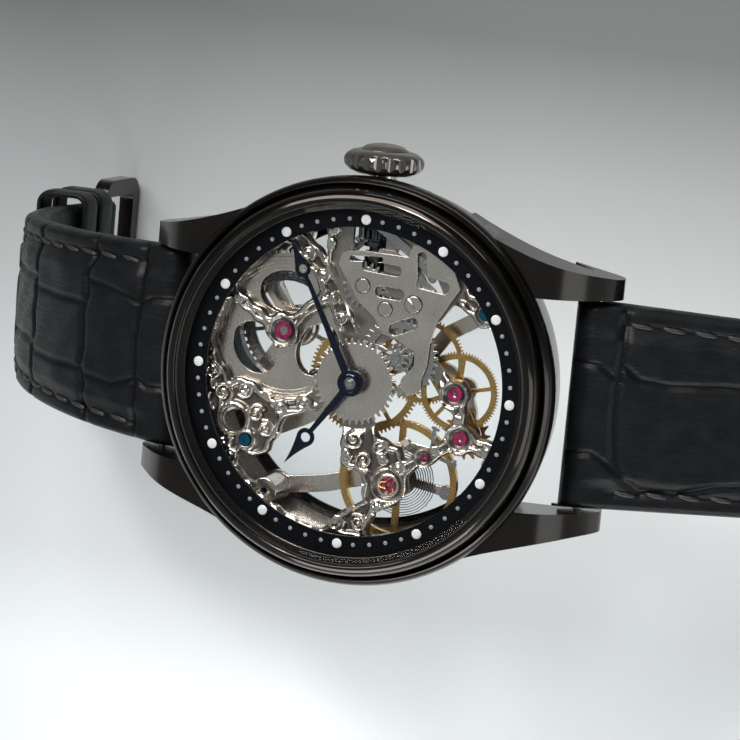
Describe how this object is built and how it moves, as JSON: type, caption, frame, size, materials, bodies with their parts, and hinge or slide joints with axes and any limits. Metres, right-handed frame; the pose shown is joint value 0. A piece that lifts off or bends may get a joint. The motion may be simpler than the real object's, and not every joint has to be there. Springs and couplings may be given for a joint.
{
  "type": "skeleton wristwatch",
  "caption": "Round skeleton wristwatch with open-worked hand-wound movement, dark coated case, onion crown and black leather strap with pin buckle.",
  "frame": {"origin": "on the hand axis, in the plane of the outer face of the case back", "axes": "+Z out of the crystal, +Y towards 12 o'clock, +X towards the crown at 3 o'clock"},
  "size_m": [0.0461, 0.1312, 0.068],
  "materials": {
    "black_metal": "glossy black coated steel",
    "sapphire": "polished sapphire crystal",
    "gasket_plastic": "smooth dark gasket",
    "track_black": "satin blue-black lacquer",
    "dot_white": "raised luminous dots",
    "hand_black": "polished blue-black",
    "rhodium": "satin rhodium with polished edges",
    "steel": "ground and polished steel",
    "brass_gold": "gilt, satin faces",
    "ruby": "polished synthetic ruby",
    "blued_screw": "heat-blued polished steel",
    "strap_leather": "black embossed leather, satin"
  },
  "bodies": {
    "case": {"case_middle": "black_metal", "bezel": "black_metal", "crystal": "sapphire", "crystal_gaskets": "gasket_plastic", "back_crystal": "sapphire", "case_back": "black_metal", "case_back_screws": "steel", "movement_ring": "rhodium", "crown_tube": "steel", "chapter_ring": "track_black", "minute_dots": "dot_white", "main_plate": "rhodium", "plate_jewels": "ruby", "shock_settings": "ruby", "barrel_bridge": "rhodium", "train_bridge": "rhodium", "balance_cock": "rhodium", "pallet_cock": "rhodium", "bridge_jewels": "ruby", "movement_screws": "blued_screw", "keyless_cover": "rhodium", "keyless_screws": "rhodium", "pivot_posts": "steel", "click_spring": "steel", "hairspring": "steel", "hairspring_stud": "steel", "spring_bars": "steel"},
    "centre": {"centre_wheel": "brass_gold"},
    "cannon": {"cannon_pinion": "steel", "minute_hand": "hand_black"},
    "hours": {"hour_wheel": "rhodium", "hour_hand": "hand_black"},
    "third": {"third_wheel": "brass_gold"},
    "fourth": {"fourth_wheel": "brass_gold"},
    "escape": {"escape_wheel": "brass_gold"},
    "drum": {"barrel": "rhodium", "barrel_cover": "rhodium", "mainspring": "steel"},
    "minutes": {"minute_wheel": "steel"},
    "setting": {"setting_wheel": "steel"},
    "intermediate": {"intermediate_wheel": "steel"},
    "ratchet": {"barrel_arbor": "steel", "ratchet_wheel": "steel"},
    "crown_gear": {"crown_wheel": "steel"},
    "pawl": {"click": "steel"},
    "winder": {"winding_pinion": "steel"},
    "stem_unit": {"stem": "steel", "crown": "black_metal"},
    "clutch": {"sliding_pinion": "steel"},
    "lever": {"setting_lever": "steel"},
    "yoke_arm": {"yoke": "steel"},
    "balance": {"balance_wheel": "brass_gold"},
    "pallets": {"pallet_fork": "steel"},
    "strap_top": {"strap_short": "strap_leather", "buckle_bar": "steel", "fixed_keeper": "strap_leather"},
    "strap_bottom": {"strap_long": "strap_leather"},
    "loop": {"sliding_keeper": "strap_leather"},
    "buckle": {"buckle_frame": "black_metal"},
    "tongue": {"buckle_tongue": "black_metal"}
  },
  "joints": [
    {"name": "centre_turn", "type": "hinge", "parent": "case", "child": "centre", "pos_m": [0, 0, 0.005], "axis": [0, 0, 1], "continuous": true},
    {"name": "minute_hand_turn", "type": "hinge", "parent": "case", "child": "cannon", "pos_m": [0, 0, 0.0095], "axis": [0, 0, 1], "continuous": true},
    {"name": "hour_hand_turn", "type": "hinge", "parent": "case", "child": "hours", "pos_m": [0, 0, 0.0092], "axis": [0, 0, 1], "continuous": true},
    {"name": "third_turn", "type": "hinge", "parent": "case", "child": "third", "pos_m": [0.00262, -0.00622, 0.005], "axis": [0, 0, 1], "continuous": true},
    {"name": "fourth_turn", "type": "hinge", "parent": "case", "child": "fourth", "pos_m": [0, -0.0106, 0.005], "axis": [0, 0, 1], "continuous": true},
    {"name": "escape_turn", "type": "hinge", "parent": "case", "child": "escape", "pos_m": [-0.00451, -0.01158, 0.005], "axis": [0, 0, 1], "continuous": true},
    {"name": "barrel_turn", "type": "hinge", "parent": "case", "child": "drum", "pos_m": [0.00418, 0.00853, 0.005], "axis": [0, 0, 1], "continuous": true, "deforming": ["mainspring"]},
    {"name": "minute_wheel_turn", "type": "hinge", "parent": "case", "child": "minutes", "pos_m": [0.0031, -0.00442, 0.005], "axis": [0, 0, 1], "continuous": true},
    {"name": "setting_wheel_turn", "type": "hinge", "parent": "case", "child": "setting", "pos_m": [0.00795, -0.0026, 0.005], "axis": [0, 0, 1], "continuous": true},
    {"name": "intermediate_turn", "type": "hinge", "parent": "case", "child": "intermediate", "pos_m": [0.01007, 0.00002, 0.005], "axis": [0, 0, 1], "continuous": true},
    {"name": "crown_turn", "type": "hinge", "parent": "case", "child": "winder", "pos_m": [0.015, 0, 0.0049], "axis": [1, 0, 0], "continuous": true},
    {"name": "crown_pull", "type": "slide", "parent": "winder", "child": "stem_unit", "axis": [1, 0, 0], "range_m": [0, 0.001]},
    {"name": "clutch_slide", "type": "slide", "parent": "winder", "child": "clutch", "axis": [1, 0, 0], "range_m": [-0.0008, 0]},
    {"name": "lever_turn", "type": "hinge", "parent": "case", "child": "lever", "pos_m": [0.0127, -0.0064, 0.005], "axis": [0, 0, 1], "range_deg": [-11, 0]},
    {"name": "yoke_turn", "type": "hinge", "parent": "case", "child": "yoke_arm", "pos_m": [0.0102, -0.0074, 0.005], "axis": [0, 0, 1], "range_deg": [0, 7.6]},
    {"name": "crown_wheel_turn", "type": "hinge", "parent": "case", "child": "crown_gear", "pos_m": [0.01093, 0, 0.005], "axis": [0, 0, 1], "continuous": true},
    {"name": "ratchet_turn", "type": "hinge", "parent": "case", "child": "ratchet", "pos_m": [0.00418, 0.00853, 0.005], "axis": [0, 0, 1], "continuous": true},
    {"name": "click_turn", "type": "hinge", "parent": "case", "child": "pawl", "pos_m": [-0.0037, 0.0119, 0.005], "axis": [0, 0, 1], "range_deg": [0, 10], "stiffness_Nm_per_rad": 0.00002},
    {"name": "balance_swing", "type": "hinge", "parent": "case", "child": "balance", "pos_m": [-0.0105, -0.00435, 0.005], "axis": [0, 0, 1], "range_deg": [-270, 270], "stiffness_Nm_per_rad": 0.0000016},
    {"name": "pallet_swing", "type": "hinge", "parent": "case", "child": "pallets", "pos_m": [-0.00705, -0.008, 0.005], "axis": [0, 0, 1], "range_deg": [-5.5, 5.5]},
    {"name": "strap_top_hinge", "type": "hinge", "parent": "case", "child": "strap_top", "pos_m": [0, 0.0233, 0.0014], "axis": [1, 0, 0], "range_deg": [-30, 12]},
    {"name": "strap_bottom_hinge", "type": "hinge", "parent": "case", "child": "strap_bottom", "pos_m": [0, -0.0233, 0.0014], "axis": [1, 0, 0], "range_deg": [-12, 30]},
    {"name": "keeper_slide", "type": "slide", "parent": "strap_top", "child": "loop", "axis": [0, 0, 1], "range_m": [-0.0009, 0.0007]},
    {"name": "buckle_hinge", "type": "hinge", "parent": "strap_top", "child": "buckle", "pos_m": [0, 0.05275, -0.04768], "axis": [1, 0, 0], "range_deg": [-60, 15]},
    {"name": "tongue_hinge", "type": "hinge", "parent": "buckle", "child": "tongue", "pos_m": [0, 0.05275, -0.04768], "axis": [1, 0, 0], "range_deg": [0, 75]}
  ],
  "couplings": [
    {"joint": "minute_hand_turn", "follows": "centre_turn", "ratio": 1},
    {"joint": "hour_hand_turn", "follows": "centre_turn", "ratio": 0.083333},
    {"joint": "third_turn", "follows": "centre_turn", "ratio": -8},
    {"joint": "fourth_turn", "follows": "centre_turn", "ratio": 60},
    {"joint": "escape_turn", "follows": "centre_turn", "ratio": -600},
    {"joint": "barrel_turn", "follows": "centre_turn", "ratio": -0.15},
    {"joint": "minute_wheel_turn", "follows": "centre_turn", "ratio": -0.33333},
    {"joint": "setting_wheel_turn", "follows": "centre_turn", "ratio": 1.2},
    {"joint": "intermediate_turn", "follows": "centre_turn", "ratio": -0.6},
    {"joint": "crown_wheel_turn", "follows": "crown_turn", "ratio": 0.4},
    {"joint": "ratchet_turn", "follows": "crown_turn", "ratio": -0.26923},
    {"joint": "clutch_slide", "follows": "crown_pull", "ratio": -0.8},
    {"joint": "lever_turn", "follows": "crown_pull", "rad_per_m": -188.5},
    {"joint": "yoke_turn", "follows": "crown_pull", "rad_per_m": 129},
    {"joint": "pallet_swing", "follows": "balance_swing", "ratio": -0.02}
  ]
}
